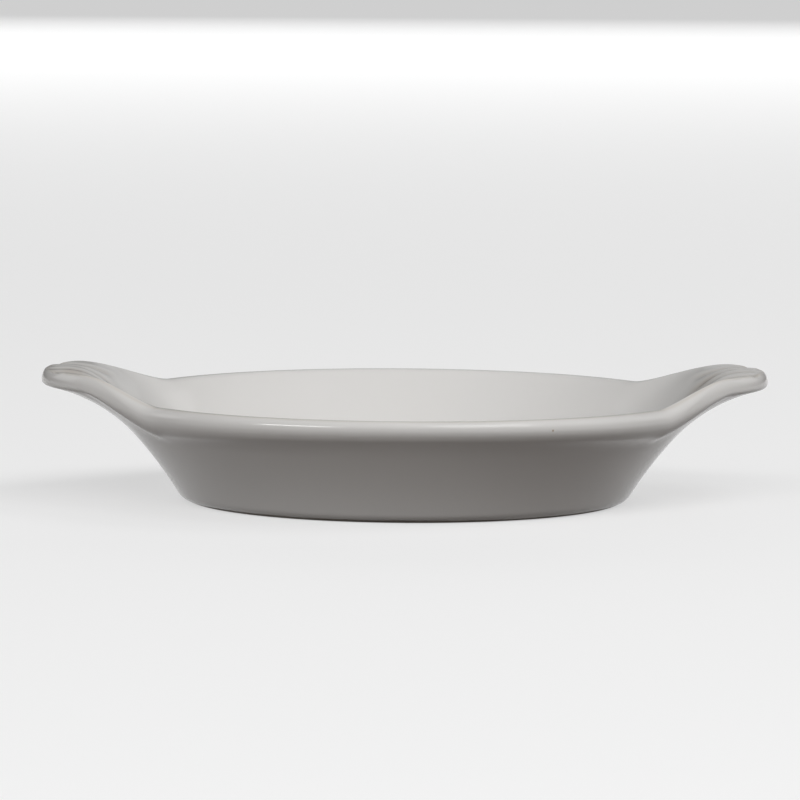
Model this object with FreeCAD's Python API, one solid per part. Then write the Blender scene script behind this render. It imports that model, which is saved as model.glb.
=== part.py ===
import FreeCAD, Part
import math
import os

# Round gratin dish with two fluted ears, one glazed body split into the regions that a potter names.
# Millimetres. The origin is the centre of the standing plane, +Z is up, and the ears lie along X.

# Bowl
rim_diameter = 157.0        # outside of the rounded rim
rim_height = 27.9           # standing plane to the crest of the rim
rim_roll = 2.7              # radius of the rounded rim edge
rim_band = 10.0             # depth of the rim below its crest, where it sits on the wall
base_diameter = 111.5       # outer edge of the flat that touches the table
base_corner = 5.0           # rounding from that flat into the wall
wall_flare = 8.5            # degrees that the outside is steeper at its foot, and flatter at the rim, than a cone
wall_thickness = 4.8        # at the foot of the wall, square to it
floor_thickness = 3.6       # clay between the cooking floor and the recess below it
floor_corner = 9.0          # radius from the floor up into the wall
foot_height = 0.9           # depth of the recess inside the foot ring
foot_width = 4.0            # bare flat that touches the table

# Ears
overall_length = 192.0      # from ear tip to ear tip
ear_root_width = 84.0       # across an ear where it leaves the rim
ear_flat_width = 38.0       # across the part of the ear that has its full height
ear_rise = 6.9              # edge of the ear above the crest of the rim
ear_roll = 2.2              # radius of the rounded edge at the tip
ear_top_fall = 8.0          # degrees that the domed top slopes down to the tip
ear_under_slope = 8.0       # degrees that the underside still climbs at the tip
ear_fullness = 0.62         # share of the top's length over which it still follows the inner wall
ear_flatness = 0.36         # share of the top's length over which it lies along the tip
ear_sections = 17           # radial sections that shape one ear

# Flutes on top of each ear
flute_count = 4
flute_width = 4.2
flute_depth = 0.9
flute_inset = 1.5           # from the crest of the tip to the outer ends of the flutes
flute_length = 14.0         # along the ear
flute_pitch = 14.4          # between neighbours at their inner ends
flute_fan = 8.7             # the flutes aim at a point this far past the crest of the tip


def point(radius, height, azimuth=0.0):
    """Place a profile point in the upright plane at this azimuth, in degrees."""
    turn = math.radians(azimuth)
    return FreeCAD.Vector(radius * math.cos(turn), radius * math.sin(turn), height)


def step_along(start, angle, length):
    """Move a profile point along a direction, in degrees above the horizontal."""
    turn = math.radians(angle)
    return (start[0] + length * math.cos(turn), start[1] + length * math.sin(turn))


def tangent_angle(start, centre, radius, side):
    """Angle of the line from a point that just touches a circle, on its left (+1) or right (-1)."""
    reach = (centre[0] - start[0], centre[1] - start[1])
    return math.degrees(math.atan2(reach[1], reach[0]) + side * math.asin(radius / math.hypot(*reach)))


def between(first, second, share):
    """Point part of the way from one profile point to another."""
    return (first[0] + (second[0] - first[0]) * share, first[1] + (second[1] - first[1]) * share)


def at_height(start, angle, height):
    """Point of a straight profile line at a height."""
    return (start[0] + (height - start[1]) / math.tan(math.radians(angle)), height)


# The profile of the bowl, as radius and height
axis = FreeCAD.Vector(0, 0, 1)
centre = FreeCAD.Vector(0, 0, 0)
rim_radius = rim_diameter / 2
tip_radius = overall_length / 2
seat_height = rim_height - rim_band
floor_top = foot_height + floor_thickness
roll_centre = (rim_radius - rim_roll, rim_height - rim_roll)

# Outside: a hollow flare from the rounded corner to the rounded rim, a curve of three control points
foot_edge = base_diameter / 2
foot_inside = foot_edge - foot_width
corner_middle = (foot_edge, base_corner)
cone_slope = tangent_angle(corner_middle, roll_centre, base_corner - rim_roll, 1)
foot_slope, under_slope = cone_slope + wall_flare, cone_slope - wall_flare
flare_start = step_along(corner_middle, foot_slope - 90, base_corner)
flare_end = step_along(roll_centre, under_slope - 90, rim_roll)
flare_length = math.dist(flare_start, flare_end)
flare_turn = step_along(flare_start, foot_slope, flare_length / 2 / math.cos(math.radians(wall_flare)))

# The rim sits on the wall where that flare reaches the seat's height
flare_bow = flare_start[1] - 2 * flare_turn[1] + flare_end[1]
flare_climb = flare_turn[1] - flare_start[1]
flare_below = flare_start[1] - seat_height
seat_share = -flare_below / (flare_climb + math.sqrt(flare_climb ** 2 - flare_bow * flare_below))
wall_turn = between(flare_start, flare_turn, seat_share)
rim_turn = between(flare_turn, flare_end, seat_share)
outer_seat = between(wall_turn, rim_turn, seat_share)
seat_slope = math.degrees(math.atan2(rim_turn[1] - wall_turn[1], rim_turn[0] - wall_turn[0]))

# Inside: a straight slope that leaves the wall its thickness at the floor and runs into the rim's rounded edge
wall_across = wall_thickness / math.sin(math.radians(foot_slope))
inner_foot = (at_height(flare_start, foot_slope, floor_top)[0] - wall_across, floor_top)
inner_angle = tangent_angle(inner_foot, roll_centre, rim_roll, 1)
inner_seat = at_height(inner_foot, inner_angle, seat_height)
floor_edge = inner_foot[0] - floor_corner * math.tan(math.radians(inner_angle / 2))


def line(start, end, azimuth=0.0):
    """Straight stretch of a profile."""
    return Part.LineSegment(point(*start, azimuth), point(*end, azimuth)).toShape()


def arc(middle, radius, first, last, azimuth=0.0):
    """Round stretch of a profile between two angles about its middle."""
    angles = (first, (first + last) / 2, last)
    ends = [point(*step_along(middle, angle, radius), azimuth) for angle in angles]
    return Part.Arc(*ends).toShape()


def curve(control, azimuth=0.0):
    """Smooth stretch of a profile, drawn by its control points."""
    bend = Part.BezierCurve()
    bend.setPoles([point(*pole, azimuth) for pole in control])
    return bend.toShape()


def spin(edges, first=0.0, sweep=360.0):
    """Turn a closed profile about the axis of the dish."""
    face = Part.Face(Part.Wire(edges))
    face.rotate(centre, axis, first)
    return face.revolve(centre, axis, sweep)


# Floor: a disc that ends where its top starts to round up into the wall
dish_floor = Part.makeCylinder(floor_edge, floor_thickness, FreeCAD.Vector(0, 0, foot_height))

# Foot, heel and wall are turned together, then parted at the recess and where the inside starts to run straight
round_middle = (floor_edge, floor_top + floor_corner)
round_end = step_along(round_middle, inner_angle - 90, floor_corner)
lower_profile = [
    line((foot_inside, 0), (foot_edge, 0)),
    arc(corner_middle, base_corner, -90, foot_slope - 90),
    curve([flare_start, wall_turn, outer_seat]),
    line(outer_seat, inner_seat),
    line(inner_seat, round_end),
    arc(round_middle, floor_corner, inner_angle - 90, -90),
    line((floor_edge, floor_top), (floor_edge, foot_height)),
    line((floor_edge, foot_height), (foot_inside, foot_height)),
    line((foot_inside, foot_height), (foot_inside, 0)),
]
lower_body = spin(lower_profile)
below_recess = Part.makeCylinder(rim_radius, foot_height)
below_wall = Part.makeCylinder(rim_radius, round_end[1])
foot_ring = lower_body.common(below_recess)
heel = lower_body.common(below_wall).cut(below_recess)
side_wall = lower_body.cut(below_wall)


# Rim and ears share one kind of section: seat, inside, rounded edge and underside
ear_end = math.degrees(math.asin(ear_root_width / 2 / rim_radius))
ear_flat = math.degrees(math.asin(ear_flat_width / 2 / tip_radius))


def ear_form(azimuth):
    """Edge circle and slopes of the section at an azimuth, in degrees from the middle of the ear."""
    away = min(abs(azimuth), ear_end)
    share = (1 + math.cos(math.pi * away / ear_end)) / 2
    climb = min(1.0, (ear_end - away) / (ear_end - ear_flat))
    lift = climb * climb * (3 - 2 * climb)
    roll = rim_roll + (ear_roll - rim_roll) * share
    edge = rim_radius + (tip_radius - rim_radius) * share
    crest = rim_height + ear_rise * lift
    top_angle = inner_angle - (ear_top_fall + inner_angle) * lift
    under_angle = under_slope + (ear_under_slope - under_slope) * lift
    return (edge - roll, crest - roll), roll, top_angle, under_angle


def poles(start, start_angle, end, end_angle, leave=1 / 3, arrive=1 / 3):
    """Four control points of a curve that leaves and arrives at the given angles."""
    length = math.hypot(end[0] - start[0], end[1] - start[1])
    second = step_along(start, start_angle, leave * length)
    third = step_along(end, end_angle, -arrive * length)
    return [start, second, third, end]


def top_poles(azimuth):
    """Control points of the top, from the seat inside the dish to the rounded edge."""
    middle, roll, top_angle, under_angle = ear_form(azimuth)
    edge = step_along(middle, top_angle + 90, roll)
    return poles(inner_seat, inner_angle, edge, top_angle, ear_fullness, ear_flatness)


def under_poles(azimuth):
    """Control points of the underside, from the rounded edge to the seat on the outside of the wall."""
    middle, roll, top_angle, under_angle = ear_form(azimuth)
    edge = step_along(middle, under_angle - 90, roll)
    return poles(outer_seat, seat_slope, edge, under_angle)[::-1]


def ear_section(azimuth):
    """Closed section of the ear in the upright plane at an azimuth."""
    middle, roll, top_angle, under_angle = ear_form(azimuth)
    return Part.Wire([
        line(outer_seat, inner_seat, azimuth),
        curve(top_poles(azimuth), azimuth),
        arc(middle, roll, top_angle + 90, under_angle - 90, azimuth),
        curve(under_poles(azimuth), azimuth),
    ])


def ear_top(x, y, halvings=40):
    """Height of the smooth top of the right ear at a place in plan, found by halving along its curve."""
    radius = math.hypot(x, y)
    control = top_poles(math.degrees(math.atan2(y, x)))
    low, high = 0.0, 1.0
    for halving in range(halvings):
        t = (low + high) / 2
        weights = ((1 - t) ** 3, 3 * t * (1 - t) ** 2, 3 * t * t * (1 - t), t ** 3)
        if sum(w * pole[0] for w, pole in zip(weights, control)) < radius:
            low = t
        else:
            high = t
    return sum(w * pole[1] for w, pole in zip(weights, control))


def flute_cutter(number):
    """Round bar bent along one flute, which dips into the ear and runs out at both ends."""
    bar_radius = flute_width ** 2 / (8 * flute_depth) + flute_depth / 2
    fan_x = tip_radius - ear_roll + flute_fan
    near_run = flute_fan + flute_inset
    far_run = near_run + flute_length
    sideways = flute_pitch * (number - (flute_count - 1) / 2) / far_run
    stations = []
    for along, depth in ((0.0, 0.0), (0.5, flute_depth), (1.0, 0.0)):
        run = near_run + along * flute_length
        here = FreeCAD.Vector(fan_x - run, run * sideways, 0)
        back = here + FreeCAD.Vector(-1, sideways, 0) * flute_depth
        here.z = ear_top(here.x, here.y)
        back.z = ear_top(back.x, back.y)
        slope = back - here
        upright = slope.cross(axis).cross(slope)
        upright.normalize()
        stations.append(here + upright * (bar_radius - depth))
    path = Part.Arc(*stations).toShape()
    start = path.valueAt(path.FirstParameter)
    heading = path.tangentAt(path.FirstParameter)
    ring = Part.Wire(Part.makeCircle(bar_radius, start, heading))
    return Part.Wire(path).makePipeShell([ring], True, False)


def make_ear():
    """Right ear, lofted from one end of the rim to the other and then fluted."""
    stations = [ear_end * (2 * k / (ear_sections - 1) - 1) for k in range(ear_sections)]
    ear = Part.makeLoft([ear_section(azimuth) for azimuth in stations], True, False)
    for number in range(flute_count):
        ear = ear.cut(flute_cutter(number))
    return ear


right_ear = make_ear()
left_ear = right_ear.copy()
left_ear.rotate(centre, axis, 180)

# Plain rim between the ears, with the section that both ears end in
rim_profile = [
    line(outer_seat, inner_seat),
    line(inner_seat, step_along(roll_centre, inner_angle + 90, rim_roll)),
    arc(roll_centre, rim_roll, inner_angle + 90, under_slope - 90),
    curve(under_poles(ear_end)),
]
rim_sweep = 180 - 2 * ear_end
back_rim = spin(rim_profile, ear_end, rim_sweep)
front_rim = spin(rim_profile, 180 + ear_end, rim_sweep)

pieces = {
    "foot_ring": foot_ring,
    "dish_floor": dish_floor,
    "heel": heel,
    "side_wall": side_wall,
    "front_rim": front_rim,
    "back_rim": back_rim,
    "left_ear": left_ear,
    "right_ear": right_ear,
}
os.makedirs("parts", exist_ok=True)
for name, shape in pieces.items():
    shape.exportStep(f"parts/{name}.step")
    print(name, shape.isValid(), len(shape.Solids), round(shape.Volume, 1), shape.BoundBox)
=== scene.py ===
import math

import bmesh
import bpy
from mathutils import Matrix, Vector


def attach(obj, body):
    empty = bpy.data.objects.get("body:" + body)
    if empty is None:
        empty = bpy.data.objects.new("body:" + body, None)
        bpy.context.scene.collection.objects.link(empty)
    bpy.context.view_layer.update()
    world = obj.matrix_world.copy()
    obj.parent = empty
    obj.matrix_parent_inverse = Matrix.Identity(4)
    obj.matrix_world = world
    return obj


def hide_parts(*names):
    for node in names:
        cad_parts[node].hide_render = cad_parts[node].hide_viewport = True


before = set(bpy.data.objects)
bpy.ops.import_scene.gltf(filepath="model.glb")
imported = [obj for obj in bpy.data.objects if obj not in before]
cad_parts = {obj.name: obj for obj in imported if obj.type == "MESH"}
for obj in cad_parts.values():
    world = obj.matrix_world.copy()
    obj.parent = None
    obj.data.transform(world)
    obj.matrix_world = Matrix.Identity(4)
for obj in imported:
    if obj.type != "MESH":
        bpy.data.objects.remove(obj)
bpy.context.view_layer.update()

# Foot ring: the low ring that the dish stands on. It is the dish's own stoneware, wiped clean of glaze
# before firing so that it doesn't stick to the kiln shelf, and rubbed smooth on a stone afterwards.
# It is one with the heel above it, so its top is hidden inside the glazed body.
foot_inside = 51.75         # radii and heights of the dish are in millimetres
foot_flat = 55.75           # outer edge of the rubbed flat
foot_wear = 0.05            # how far short of it the flat already leaves the table
foot_recess = 0.9           # height of the glazed underside inside the ring
foot_hidden = 1.35          # how far up the clay goes under the glaze
foot_edge = 0.4             # rounding of the ring's inner edge
foot_corner = 5.0           # rounding from the flat into the wall
foot_slope = math.radians(58.35)        # of the wall just above that rounding
under_slope = math.radians(44)          # of the wall where it runs out under the rim
flare_foot, flare_rim = 13.04, 14.16    # from the ends of the wall's hollow curve to where its slopes meet
glaze_coat = 0.18           # thickness of the glaze, which ends in a small step above the ring
clay_pale, clay_dull = (0.68, 0.64, 0.59, 1), (0.62, 0.58, 0.53, 1)
clay_speck, clay_rubbed = (0.46, 0.41, 0.36, 1), (0.52, 0.50, 0.47, 1)


def wall_outside(height):
    """Radius of the glazed outside at a height: the rounded foot of the wall, then its hollow flare."""
    above = height - foot_corner * (1 - math.cos(foot_slope))
    if above < 0:
        return foot_flat + math.sqrt(foot_corner ** 2 - (foot_corner - height) ** 2)
    climb = flare_foot * math.sin(foot_slope)
    bow = flare_rim * math.sin(under_slope) - climb
    share = above / (climb + math.sqrt(climb ** 2 + bow * above))
    spread = flare_foot * math.cos(foot_slope)
    swell = flare_rim * math.cos(under_slope) - spread
    return foot_flat + foot_corner * math.sin(foot_slope) + 2 * spread * share + swell * share ** 2


def foot_section(azimuth):
    """Closed outline of the bare ring, alike at every azimuth: flat, outside, hidden top and inner face."""
    outline = [(foot_flat - foot_wear, 0.0)]
    for height in (0.03, 0.12, 0.27, 0.47, 0.7, 0.95, 1.15, foot_hidden):
        outline.append((wall_outside(height) - glaze_coat, height))
    outline.append((foot_inside, foot_hidden))
    for turn in (1.57, 1.1, 0.7, 0.35, 0):
        outline.append((foot_inside + foot_edge * (1 - math.sin(turn)), foot_edge * (1 - math.cos(turn))))
    return outline


def turn_piece(name, azimuths, section, marks=None):
    """Closed piece round the dish's axis. section(azimuth) is its outline there, as radius and height."""
    points, faces = [], []
    for azimuth in azimuths:
        outline = section(azimuth)
        x, y = math.cos(math.radians(azimuth)), math.sin(math.radians(azimuth))
        points += [(radius * x / 1000, radius * y / 1000, height / 1000) for radius, height in outline]
    rows, columns = len(outline), len(azimuths)
    ring = outline[0][0] > 0
    for column in range(columns):
        here, there = column * rows, (column + 1) % columns * rows
        for row in range(rows if ring else rows - 1):
            above = (row + 1) % rows
            faces.append((here + row, there + row, there + above, here + above))
    mesh = bpy.data.meshes.new(name)
    mesh.from_pydata(points, [], faces)
    for mark, values in (marks or {}).items():
        mesh.attributes.new(mark, "FLOAT", "POINT").data.foreach_set("value", values)
    form = bmesh.new()
    form.from_mesh(mesh)
    bmesh.ops.remove_doubles(form, verts=form.verts, dist=1e-7)
    form.to_mesh(mesh)
    form.free()
    mesh.shade_smooth()
    piece = bpy.data.objects.new(name, mesh)
    bpy.context.collection.objects.link(piece)
    return piece


class Tone:
    """A shader socket. Arithmetic on it adds Math nodes, and node() adds any other node to its material."""

    def __init__(self, tree, socket=None):
        self.tree, self.socket = tree, socket

    def node(self, kind, settings=None, sockets=None, out=0):
        made = self.tree.nodes.new(kind)
        for name, value in (settings or {}).items():
            setattr(made, name, value)
        for name, value in (sockets or {}).items():
            if isinstance(value, Tone):
                self.tree.links.new(value.socket, made.inputs[name])
            else:
                made.inputs[name].default_value = value
        return Tone(self.tree, made.outputs[out] if made.outputs else None)

    def maths(self, operation, first, second, clamp=False):
        settings = {"operation": operation, "use_clamp": clamp}
        return self.node("ShaderNodeMath", settings, {0: first, 1: second})

    def __add__(self, other):
        return self.maths("ADD", self, other)

    def __sub__(self, other):
        return self.maths("SUBTRACT", self, other)

    def __rsub__(self, other):
        return self.maths("SUBTRACT", other, self)

    def __mul__(self, other):
        return self.maths("MULTIPLY", self, other)

    def __truediv__(self, other):
        return self.maths("DIVIDE", self, other)

    def __pow__(self, other):
        return self.maths("POWER", self, other)

    __radd__ = __add__
    __rmul__ = __mul__

    def clamped(self):
        return self.maths("ADD", self, 0.0, clamp=True)

    def blend(self, share, first, second):
        """A colour between two, by a share."""
        return self.node("ShaderNodeMix", {"data_type": "RGBA"}, {0: share, 6: first, 7: second}, out=2)

    def tinted(self, share, colour):
        """This colour, turned towards another by a share."""
        return self.blend(share, self, colour)

    def vectors(self, operation, sockets, out=0):
        return self.node("ShaderNodeVectorMath", {"operation": operation}, sockets, out)

    def grain(self, place, size, detail, roughness=0.5):
        """Cloudy noise from 0 to 1, with clouds of a size in millimetres."""
        sockets = {"Vector": place, "Scale": 1000 / size, "Detail": detail, "Roughness": roughness}
        return self.node("ShaderNodeTexNoise", {}, sockets)

    def relief(self, strength, depth, height):
        """Fine unevenness of the surface, with a depth in millimetres."""
        sockets = {"Strength": strength, "Distance": depth / 1000, "Height": height}
        return self.node("ShaderNodeBump", {}, sockets)


def start_finish(name):
    """An empty material, and the Tone that its nodes start from."""
    material = bpy.data.materials.new(name)
    material.use_nodes = True
    material.node_tree.nodes.clear()
    return material, Tone(material.node_tree)


def end_finish(start, sockets):
    """Lay the finished values on the surface."""
    surface = start.node("ShaderNodeBsdfPrincipled", {}, sockets)
    start.node("ShaderNodeOutputMaterial", {}, {"Surface": surface})


clay, start = start_finish("bare_clay")
place = start.node("ShaderNodeTexCoord", out="Object")
sand = start.grain(place, size=0.35, detail=3.0, roughness=0.7)
cloud = start.grain(place, size=9.0, detail=3.0)
from_axis = start.vectors("LENGTH", {0: start.vectors("MULTIPLY", {0: place, 1: (1, 1, 0)})}, out="Value")
rubbing = start.node("ShaderNodeTexNoise", {"noise_dimensions": "1D"}, {
    "W": from_axis * 1000 + cloud * 0.4,
    "Scale": 3.0,
    "Detail": 4.0,
})
speckle = ((sand - 0.62) * 6).clamped()
clay_colour = start.blend(cloud, clay_pale, clay_dull)
clay_colour = clay_colour.tinted(speckle * 0.5, clay_speck)
clay_colour = clay_colour.tinted(rubbing * 0.25, clay_rubbed)
clay_relief = start.relief(0.5, 0.06, sand * 0.6 + rubbing * 0.7)
end_finish(start, {"Base Color": clay_colour, "Roughness": 0.82 + sand * 0.12, "Normal": clay_relief})

foot = turn_piece("bare_foot_ring", range(360), foot_section)
foot.data.materials.append(clay)
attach(foot, "root")
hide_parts("foot_ring")


# Glazed body: floor, heel, wall, rim and both ears are one pressed piece of stoneware, dipped in white glaze
# and fired. The glaze rounds every edge, thins on the crests and pools in the flutes on top of the ears. Its
# colour
# also holds painted shade: a darker line along the crest and darker grooves in the flutes.
# Its skin is drawn as one continuous surface, with a section at every azimuth.
rim_radius, rim_height = 78.5, 27.9
front_rise = 0.45           # how much higher the rim stands at the front
rise_from = 10.0            # height of the wall from which that is felt
rim_roll, rim_face, rim_lip = 2.1, 3.65, 6.5    # rounds of the rim's edge: over the crest, its face, below
rim_growth = 0.5            # how much fuller the first two are towards the ears
rim_face_tilt = math.radians(-12)       # how far up the top of that face looks
rim_lip_tilt = math.radians(-32)        # and its bottom
seat_height = 17.9          # where the section of the rim and ears starts
floor_top, floor_corner = 4.5, 9.0
wall_thickness = 4.8
tip_radius, ear_rise = 96.0, 6.9
ear_roll, ear_lip = 1.1, 1.3            # rounds of an ear's edge above and below its face
ear_face, ear_side_face = 4.0, 4.9      # round of that face, at the tip and at the ear's sides
ear_face_tilt, ear_lip_tilt = math.radians(38), math.radians(-4)    # how far up it looks, top and bottom
ear_root, ear_crown, front_root = 45.0, 19.0, 41.0      # half widths of an ear at places of its edge
ear_end = math.asin(ear_root / rim_radius)      # azimuth from the tip where the edge leaves the rim outwards
# Azimuths from the tip between which that edge rises. At the front it starts later and is up sooner.
back_climb = (ear_end, math.asin(ear_crown / tip_radius))
front_climb = (math.asin(front_root / rim_radius), math.radians(15))
ear_top_slope = math.radians(-8)
ear_fullness, side_fullness = 0.62, 0.28        # how far the top follows the inner wall, at tip and sides
ear_flatness = 0.36         # how far it lies along the tip
flute_count, flute_depth, flute_sharpness = 4, 0.48, 1.2
flute_point = 102.5         # the flutes fan out from here, beyond the tip
flute_near, flute_far = 7.0, 27.0       # their ends, from that point
flute_gap, flute_spread = 7.6, 4.6      # between neighbours at the near end, and how much more at the far one
flute_rise, flute_fall = 0.25, 0.22     # shares of their length over which they deepen and run out
bare_height = 0.85          # how much of the foot ring shows below the glaze
glaze_waves = ((0.05, 3, 1), (0.05, 7, 0), (0.03, 19, 0))   # of its lower edge: height, number and start
glaze_edge = ((0.08, 0.0), (0.01, 0.05), (0.0, 0.15))       # points that round that edge: inset and height
crest_tilt = math.radians(78)           # where the glaze is thinnest on the crest, and where a painted shade line runs along it
crest_reach = 0.65          # and how far that thin glaze and painted shade reach
glaze_white, glaze_shade = (0.80, 0.785, 0.765, 1), (0.78, 0.77, 0.755, 1)
# The pooled tint also paints shade in the flute grooves.
# The thin tint also paints a shade line along the crest.
crest_thin_and_shade_colour, pooled_and_groove_shade_colour = (0.60, 0.545, 0.47, 1), (0.42, 0.37, 0.32, 1)
speck_and_patch_brown = (0.42, 0.31, 0.21, 1)
speck_and_ear_patches = (              # where in metres, how far in millimetres and how strongly each shows: an iron speck, then a brownish, darker patch on each ear
    ((0.0364, -0.0695, 0.0255), 0.3, 0.9),
    ((0.0785, 0.003, 0.0304), 5.5, 0.3),
    ((-0.0875, -0.008, 0.0348), 4.5, 0.28),
)


def between(first, last, share):
    """Value between two, by a share."""
    return first + (last - first) * share


def eased(share):
    """A share that is held between 0 and 1, and starts and ends gently."""
    share = max(0.0, min(1.0, share))
    return share * share * (3 - 2 * share)


def step_along(point, angle, length):
    """Move a point of a section in a direction."""
    return (point[0] + length * math.cos(angle), point[1] + length * math.sin(angle))


def arc(middle, radius, first, last, steps):
    """Points of a round, between two angles."""
    return [step_along(middle, between(first, last, k / steps), radius) for k in range(steps + 1)]


def curve(start, start_angle, end, end_angle, leave, arrive, steps):
    """Points of a smooth stretch that leaves and arrives at the given angles."""
    length = math.dist(start, end)
    leaving = step_along(start, start_angle, leave * length)
    arriving = step_along(end, end_angle, -arrive * length)
    pulls = (start, leaving, arriving, end)
    points = []
    for t in (k / steps for k in range(steps + 1)):
        weights = ((1 - t) ** 3, 3 * t * (1 - t) ** 2, 3 * t * t * (1 - t), t ** 3)
        points.append(tuple(sum(w * pull[axis] for w, pull in zip(weights, pulls)) for axis in (0, 1)))
    return points


def flute_at(x, y):
    """Share of a flute's depth at a place on an ear, seen from above with the ear's tip towards +x."""
    along = (flute_point - x - flute_near) / (flute_far - flute_near)
    gap = flute_gap + flute_spread * along ** 2
    middle = (flute_count - 1) / 2
    number = max(0, min(flute_count - 1, round(y / gap + middle)))
    across = abs(y - gap * (number - middle))
    groove = ((1 + math.cos(math.pi * min(1.0, 2 * across / gap))) / 2) ** flute_sharpness
    return eased(along / flute_rise) * eased((1 - along) / flute_fall) * groove


# The inside of the wall runs straight from the floor to the rim's round. The rim and the ears start from
# a seat on it and from another on the outside, at the same height.
inner_foot = (wall_outside(floor_top) - wall_thickness / math.sin(foot_slope), floor_top)
reach = (rim_radius - rim_roll - inner_foot[0], rim_height - rim_roll - inner_foot[1])
inner_slope = math.atan2(reach[1], reach[0]) + math.asin(rim_roll / math.hypot(*reach))
inner_seat = (inner_foot[0] + (seat_height - floor_top) / math.tan(inner_slope), seat_height)
outer_seat = (wall_outside(seat_height), seat_height)
seat_slope = math.atan2(0.1, wall_outside(seat_height) - wall_outside(seat_height - 0.1))
corner_middle = (inner_foot[0] - floor_corner * math.tan(inner_slope / 2), floor_top + floor_corner)
thin_glaze_and_crest_shade, pooled_glaze_and_groove_shade = [], []


def body_section(azimuth):
    """Outline of the glazed body, from the middle of its underside, over the rim, to that of its floor."""
    turn = math.radians(azimuth)
    side = 1 if math.cos(turn) > 0 else -1
    off_tip = math.atan2(math.sin(turn) * side, math.cos(turn) * side)
    away = min(abs(off_tip), ear_end)
    share = (1 + math.cos(math.pi * away / ear_end)) / 2
    climb_start, climb_end = front_climb if math.sin(turn) < 0 else back_climb
    lift = eased((climb_start - away) / (climb_start - climb_end))

    # The rounds of the edge at this azimuth, and the wall's last stretch, which meets them in one even bend.
    fuller = 1 + rim_growth * math.cos(turn) ** 2
    roll = between(rim_roll * fuller, ear_roll, lift)
    face = between(rim_face * fuller, between(ear_side_face, ear_face, share), lift)
    lip = between(rim_lip, ear_lip, lift)
    face_tilt = between(rim_face_tilt, ear_face_tilt, lift)
    lip_tilt = between(rim_lip_tilt, ear_lip_tilt, lift)
    top_slope = between(inner_slope, ear_top_slope, share)
    fullness = between(side_fullness, ear_fullness, share)
    edge = between(rim_radius, tip_radius, share) - (face - roll) * (1 - math.cos(max(0, face_tilt)))
    middle = (edge - roll, rim_height + ear_rise * lift - roll)
    face_middle = step_along(middle, face_tilt, roll - face)
    lip_middle = step_along(face_middle, lip_tilt, face - lip)
    top_edge = step_along(middle, top_slope + math.pi / 2, roll)
    rest_slope = seat_slope
    for attempt in range(5):
        under_edge = step_along(lip_middle, rest_slope - math.pi / 2, lip)
        rise = math.atan2(under_edge[1] - outer_seat[1], under_edge[0] - outer_seat[0])
        rest_slope = 2 * rise - seat_slope

    # The underside, the lower edge of the glaze, the wall's outside and the edge's outer rounds.
    waves = [high * math.sin(count * turn + begin) for high, count, begin in glaze_waves]
    glaze_line = bare_height + sum(waves)
    hidden = wall_outside(glaze_line) - 2 * glaze_coat
    outline = [(radius, foot_recess) for radius in (0, 6, 18, 30, 42, 49, 52, hidden)]
    outline.append((hidden, glaze_line))
    outline += [(wall_outside(glaze_line + up) - inset, glaze_line + up) for inset, up in glaze_edge]
    outline += [(wall_outside(height), height) for height in (1.3, 1.6, 2, 2.5, *range(3, 17))]
    outline += curve(outer_seat, seat_slope, under_edge, rest_slope, 1 / 3, 1 / 3, 20)
    outline += arc(lip_middle, lip, rest_slope - math.pi / 2, lip_tilt, 8)[1:-1]
    outline += arc(face_middle, face, lip_tilt, face_tilt, 14)[:-1]
    # Colour mark of the crest: thin glaze there, plus a painted shade line along it.
    # Colour mark of the flutes: pooled glaze in them, plus painted shade in their grooves.
    crest_thin_and_shade = [0.0] * len(outline)
    flute_pooled_and_shade = crest_thin_and_shade[:]

    # Over the crest, across the fluted top of an ear and down the inside to the seat.
    crest = step_along(middle, crest_tilt, roll)
    over = arc(middle, roll, face_tilt, top_slope + math.pi / 2, 20)[:-1]
    over += curve(inner_seat, inner_slope, top_edge, top_slope, fullness, ear_flatness, 52)[::-1]
    for radius, height in over:
        # Share of a flute's depth, which also marks pooled glaze and painted shade in its groove for the
        # colour.
        flute_share = flute_at(radius * math.cos(off_tip), radius * math.sin(off_tip))
        outline.append((radius, height - flute_depth * flute_share))
        # Thin glaze round the crest, which also paints a shade line there.
        crest_thin_and_shade.append(math.exp(-(math.dist((radius, height), crest) / crest_reach) ** 2))
        flute_pooled_and_shade.append(flute_share)

    # Down the rest of the inner wall, round the corner and over the floor.
    outline += [step_along(inner_seat, inner_slope, -length) for length in (2, 4, 6, 8, 10)]
    outline += arc(corner_middle, floor_corner, inner_slope - math.pi / 2, -math.pi / 2, 12)
    outline += [(radius, floor_top) for radius in (48, 40, 30, 18, 6, 0)]
    rest = [0.0] * (len(outline) - len(crest_thin_and_shade))
    thin_glaze_and_crest_shade.extend(crest_thin_and_shade + rest)
    pooled_glaze_and_groove_shade.extend(flute_pooled_and_shade + rest)
    raised = front_rise * max(0, -math.sin(turn)) ** 2 * (1 - lift)
    level = [max(0, (height - rise_from) / (rim_height - rise_from)) for radius, height in outline]
    return [(radius, height + raised * up ** 2) for (radius, height), up in zip(outline, level)]


azimuths = []
for tip in (0, 180):
    azimuths += [tip - 34 + 0.4 * k for k in range(170)]    # fine steps over an ear
    azimuths += [tip + 34 + k for k in range(112)]          # and whole degrees along the rim
glaze_marks = {"thin_glaze_and_crest_shade": thin_glaze_and_crest_shade, "pooled_glaze_and_groove_shade": pooled_glaze_and_groove_shade}
body = turn_piece("glazed_body", azimuths, body_section, glaze_marks)

glaze, start = start_finish("white_glaze")
place = start.node("ShaderNodeTexCoord", out="Object")
cloud = start.grain(place, size=28.0, detail=3.0)
peel = start.grain(place, size=2.4, detail=1.0)
wave = start.grain(place, size=14.0, detail=1.0)
crest_thin_and_shade = start.node("ShaderNodeAttribute", {"attribute_name": "thin_glaze_and_crest_shade"}, out=2)
flute_pooled_and_shade = start.node("ShaderNodeAttribute", {"attribute_name": "pooled_glaze_and_groove_shade"}, out=2)
glaze_colour = start.blend(cloud, glaze_white, glaze_shade)
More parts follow.
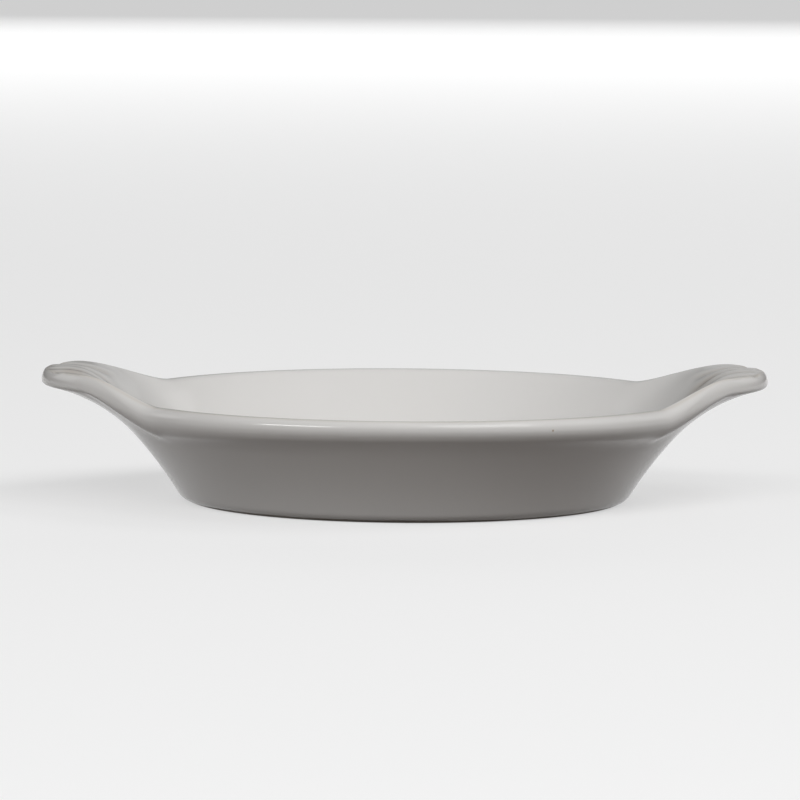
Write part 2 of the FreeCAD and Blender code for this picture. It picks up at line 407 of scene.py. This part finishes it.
# Thin glaze on the crest, with a painted shade line along it: a warm, darker tint.
glaze_colour = glaze_colour.tinted(crest_thin_and_shade * (0.2 + cloud * 0.5), crest_thin_and_shade_colour)
# Pooled glaze in the flutes, with painted shade in their grooves: a brown-grey, darker tint.
glaze_colour = glaze_colour.tinted(flute_pooled_and_shade ** 1.5 * (0.2 + cloud * 0.4), pooled_and_groove_shade_colour)
facing = start.node("ShaderNodeTexCoord", out="Normal")
facing_up = start.node("ShaderNodeSeparateXYZ", {}, {0: facing}, out="Z")
not_below = (facing_up * 3 + 1.5).clamped()     # keeps a patch on an ear's top off its underside
# An iron speck on the front rim, and a brownish, darker patch on each ear.
for spot, extent, strength in speck_and_ear_patches:
    distance = start.vectors("DISTANCE", {0: place, 1: spot}, out="Value") * 1000
    spot_share = (1.4 - distance / extent).clamped() * not_below
    glaze_colour = glaze_colour.tinted(spot_share * strength, speck_and_patch_brown)
glaze_relief = start.relief(0.3, 0.04, peel + wave * 3)
end_finish(start, {"Base Color": glaze_colour, "Roughness": 0.11 + cloud * 0.05, "Normal": glaze_relief})
body.data.materials.append(glaze)
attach(body, "root")
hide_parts("dish_floor", "heel", "side_wall", "front_rim", "back_rim", "left_ear", "right_ear")


# Studio floor: a plain pale sheet that the dish stands on. The camera and reflections see it pale,
# while the light that it throws back at the dish is that of a dull grey table.
floor_reach = 20.0          # metres to each side
paper_pale, paper_glow = (0.90, 0.90, 0.90, 1), (0.95, 0.95, 0.95, 1)
paper_dull = (0.082, 0.062, 0.05, 1)
glow_share = 0.6            # the part of the pale sheet's brightness that no shadow reaches

mesh = bpy.data.meshes.new("floor")
corners = [(x * floor_reach, y * floor_reach, 0) for x, y in ((-1, -1), (1, -1), (1, 1), (-1, 1))]
mesh.from_pydata(corners, [], [(0, 1, 2, 3)])
floor = bpy.data.objects.new("floor", mesh)
bpy.context.collection.objects.link(floor)
paper, start = start_finish("floor_paper")
rays = ("Is Camera Ray", "Is Glossy Ray", "Is Transmission Ray")
camera_ray, glossy_ray, clear_ray = [start.node("ShaderNodeLightPath", out=ray) for ray in rays]
pale = start.node("ShaderNodeMixShader", {}, {
    0: glow_share,
    1: start.node("ShaderNodeBsdfDiffuse", {}, {"Color": paper_pale}),
    2: start.node("ShaderNodeEmission", {}, {"Color": paper_glow}),
})
sheet = start.node("ShaderNodeMixShader", {}, {
    0: (camera_ray + glossy_ray + clear_ray).clamped(),
    1: start.node("ShaderNodeBsdfDiffuse", {}, {"Color": paper_dull}),
    2: pale,
})
start.node("ShaderNodeOutputMaterial", {}, {"Surface": sheet})
floor.data.materials.append(paper)


# Studio light: a large soft box high on the right is the key. Some boxes and cards show only as reflections
# in the glaze, the narrow one on the left as a streak along the rim. Broad fills from all round leave no
# reflection, and a weak even light comes from the whole surround.
surround = 0.06             # strength of that even light, where 1 is white


def soft_box(name, bearing, rise, distance, width, height, power):
    """A lamp aimed at the dish: degrees right of the camera and upwards, then metres, then watts."""
    lamp = bpy.data.lights.new(name, "AREA")
    lamp.shape = "RECTANGLE"
    lamp.size, lamp.size_y, lamp.energy = width, height, power
    box = bpy.data.objects.new(name, lamp)
    turn, lift = math.radians(bearing), math.radians(rise)
    out = Vector((math.cos(lift) * math.sin(turn), -math.cos(lift) * math.cos(turn), math.sin(lift)))
    box.location = out * distance
    box.rotation_euler = (-out).to_track_quat("-Z", "Y").to_euler()
    box.visible_camera = False
    bpy.context.collection.objects.link(box)
    return box


soft_box("key_box", 39, 51, 2.2, 1.3, 1.2, 11.8)
for reflection in (
    ("streak_box", -47, 30, 2.2, 1.15, 0.28, 13),
    ("left_card", -118, 22, 2.2, 1.0, 0.8, 2.5),
    ("right_card", 122, 22, 2.2, 1.0, 0.8, 1.3),
    ("back_box", 180, 45, 2.2, 1.3, 0.9, 1.5),
    ("back_card", 170, 11, 1.2, 0.4, 0.42, 0.13),
):
    soft_box(*reflection).visible_diffuse = False
for fill in (
    ("front_strip", -5, 36, 2.4, 2.0, 0.5, 23),
    ("front_fill", -12, 27, 2.4, 2.2, 1.3, 4),
    ("left_fill", -78, 16, 2.4, 2.2, 1.0, 9.6),
    ("right_fill", 90, 38, 2.2, 1.0, 0.8, 11),
    ("back_fill", 180, 14, 2.4, 2.4, 0.8, 20),
):
    soft_box(*fill).visible_glossy = False

world = bpy.data.worlds.new("studio")
world.use_nodes = True
world.node_tree.nodes.clear()
start = Tone(world.node_tree)
sky = start.node("ShaderNodeBackground", {}, {"Color": (1, 1, 1, 1), "Strength": surround})
start.node("ShaderNodeOutputWorld", {}, {"Surface": sky})
bpy.context.scene.world = world
bpy.context.scene.view_settings.view_transform = "Standard"


# Camera: a long lens a little above the rim, so that the near rim hides the floor of the dish.
# The dish is turned a little against it, and the picture leans a little to the right.
camera_distance = 2.304     # metres
look_down, turned, lean = math.radians(6.132), math.radians(1.409), math.radians(0.4315)
picture_width = 800         # pixels
aim_up, aim_right = 99.85, -4.05        # pixels from the middle of the dish's standing plane

flat = math.cos(look_down)
back = Vector((-math.sin(turned) * flat, -math.cos(turned) * flat, math.sin(look_down)))
right = Vector((0, 0, 1)).cross(back).normalized()
up = back.cross(right)
right, up = right * math.cos(lean) + up * math.sin(lean), up * math.cos(lean) - right * math.sin(lean)
lens = bpy.data.cameras.new("camera")
lens.lens, lens.sensor_width = 391.5, 36.0
lens.clip_start, lens.clip_end = 0.1, 100.0
pixel = camera_distance / (lens.lens / lens.sensor_width * picture_width)
stand = back * camera_distance
view_back = (stand - (aim_up * up + aim_right * right) * pixel).normalized()
view_right = up.cross(view_back).normalized()
view = Matrix((view_right, view_back.cross(view_right), view_back)).transposed()
camera = bpy.data.objects.new("camera", lens)
camera.matrix_world = Matrix.Translation(stand) @ view.to_4x4()
bpy.context.collection.objects.link(camera)
bpy.context.scene.camera = camera
